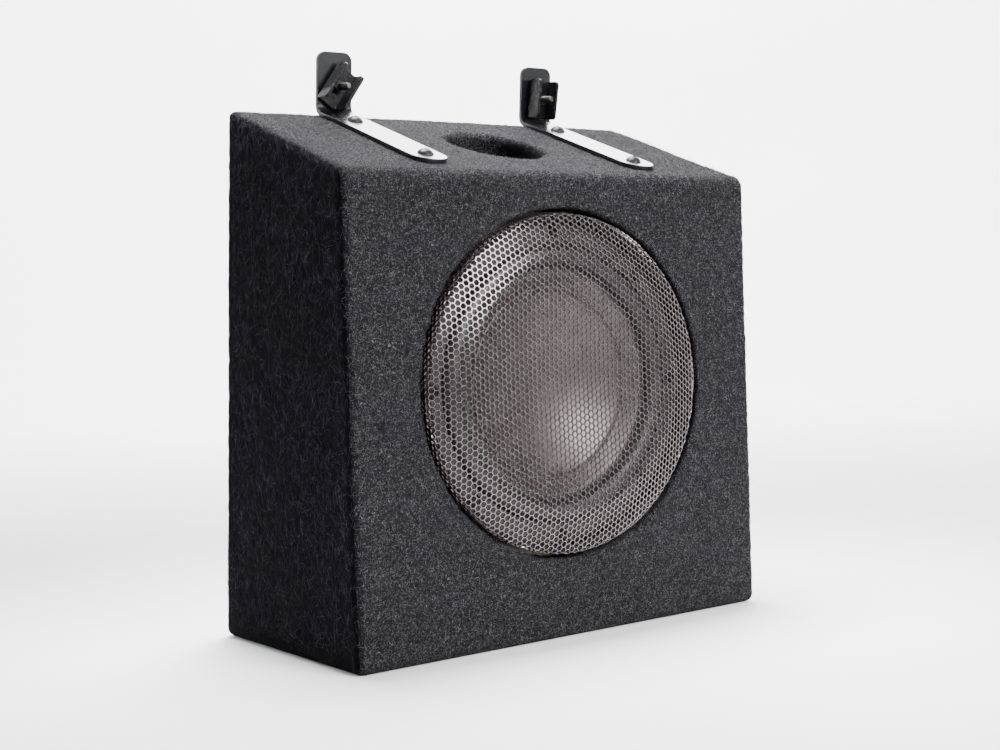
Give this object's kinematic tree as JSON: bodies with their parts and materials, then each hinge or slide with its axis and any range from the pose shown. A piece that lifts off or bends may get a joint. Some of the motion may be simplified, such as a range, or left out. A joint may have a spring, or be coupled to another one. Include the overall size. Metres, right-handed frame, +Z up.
{
  "type": "powered car subwoofer",
  "caption": "Carpeted vented wedge cabinet with a grilled bass driver, a built-in amplifier in its side and two bracket clamps that hold it in a car boot",
  "frame": {"origin": "centre of the overall box's bottom face, on the floor that the cabinet stands on", "axes": "+Z up, +X to the right seen from the front, -Y out of the front face with the grille"},
  "size_m": [0.35, 0.193, 0.4139],
  "materials": {
    "board": "plain fibreboard",
    "carpet": "charcoal needle-felt carpet with paler fibres",
    "port_plastic": "moulded black plastic",
    "wadding": "loose polyester wadding",
    "grille_metal": "satin black painted perforated sheet",
    "ring_metal": "black painted steel",
    "foam": "black closed-cell foam",
    "basket_metal": "black painted pressed steel",
    "dark_screw": "black zinc-coated screw",
    "magnet_steel": "zinc-plated steel",
    "ferrite": "dark grey ferrite",
    "cone_material": "satin dark grey polypropylene",
    "former": "amber heat-proof film",
    "copper": "enamelled copper wire",
    "surround_rubber": "soft black rubber",
    "spider_cloth": "impregnated cotton",
    "bracket_paint": "satin black painted steel bar",
    "clamp_paint": "black painted steel channel",
    "zinc": "dark zinc-plated steel",
    "amp_metal": "textured black anodised aluminium",
    "board_green": "green circuit board",
    "capacitor_sleeve": "dark shrink sleeve",
    "transistor_black": "black moulding compound",
    "control_plastic": "black moulded knob",
    "light_lens": "clear red lens",
    "gold": "gold-plated jack",
    "socket_plastic": "black moulded socket",
    "fuse_plastic": "orange translucent plastic",
    "wire_jacket": "soft coloured wire jacket"
  },
  "bodies": {
    "root": {"front_panel": "board", "bottom_panel": "board", "back_panel": "board", "top_panel": "board", "baffle_board": "board", "left_panel": "board", "right_panel": "board", "carpet_wrap": "carpet", "carpet_bottom": "carpet", "carpet_left": "carpet", "carpet_right": "carpet", "port_tube": "port_plastic", "damping_pad": "wadding", "grille_mesh": "grille_metal", "grille_ring": "ring_metal", "driver_seal": "foam", "driver_basket": "basket_metal", "trim_gasket": "foam", "driver_screws": "dark_screw", "top_plate": "magnet_steel", "ring_magnet": "ferrite", "back_plate": "magnet_steel", "surround": "surround_rubber", "spider": "spider_cloth", "bracket_left": "bracket_paint", "bracket_right": "bracket_paint", "strap_screws": "dark_screw", "clamp_studs": "zinc", "clamp_washers": "zinc", "clamp_nuts": "zinc", "amp_gasket": "foam", "amp_plate": "amp_metal", "plate_screws": "dark_screw", "amp_cover": "amp_metal", "circuit_board": "board_green", "capacitors": "capacitor_sleeve", "toroid_coil": "copper", "heat_spreader": "amp_metal", "power_transistors": "transistor_black", "potentiometers": "transistor_black", "switch_housing": "transistor_black", "status_light": "light_lens", "line_jacks": "gold", "remote_socket": "socket_plastic", "high_level_socket": "socket_plastic", "power_terminal": "socket_plastic", "terminal_screws": "zinc", "fuse_holder": "socket_plastic", "fuse": "fuse_plastic", "terminal_strip": "socket_plastic", "speaker_wires": "wire_jacket"},
    "cone_body": {"cone": "cone_material", "dust_cap": "cone_material", "coil_former": "former", "voice_coil": "copper"},
    "clamp_left": {"clamp_channel_left": "clamp_paint"},
    "clamp_right": {"clamp_channel_right": "clamp_paint"},
    "gain_knob_body": {"gain_knob": "control_plastic"},
    "crossover_knob_body": {"crossover_knob": "control_plastic"},
    "phase_switch_body": {"phase_switch": "control_plastic"}
  },
  "joints": [
    {"name": "cone_travel", "type": "slide", "parent": "root", "child": "cone_body", "axis": [0, -1, 0], "range_m": [-0.007, 0.007], "stiffness_N_per_m": 4500, "deforming": ["surround", "spider"]},
    {"name": "clamp_left_turn", "type": "hinge", "parent": "root", "child": "clamp_left", "pos_m": [-0.091, 0.05257, 0.38887], "axis": [0, -0.9955, -0.095], "continuous": true},
    {"name": "clamp_right_turn", "type": "hinge", "parent": "root", "child": "clamp_right", "pos_m": [0.091, 0.05257, 0.38887], "axis": [0, -0.9955, -0.095], "continuous": true},
    {"name": "gain_knob_turn", "type": "hinge", "parent": "root", "child": "gain_knob_body", "pos_m": [0.165, -0.03, 0.142], "axis": [1, 0, 0], "range_deg": [-150, 150]},
    {"name": "crossover_knob_turn", "type": "hinge", "parent": "root", "child": "crossover_knob_body", "pos_m": [0.165, -0.002, 0.142], "axis": [1, 0, 0], "range_deg": [-150, 150]},
    {"name": "phase_switch_slide", "type": "slide", "parent": "root", "child": "phase_switch_body", "axis": [0, 0, 1], "range_m": [0, 0.004]}
  ]
}
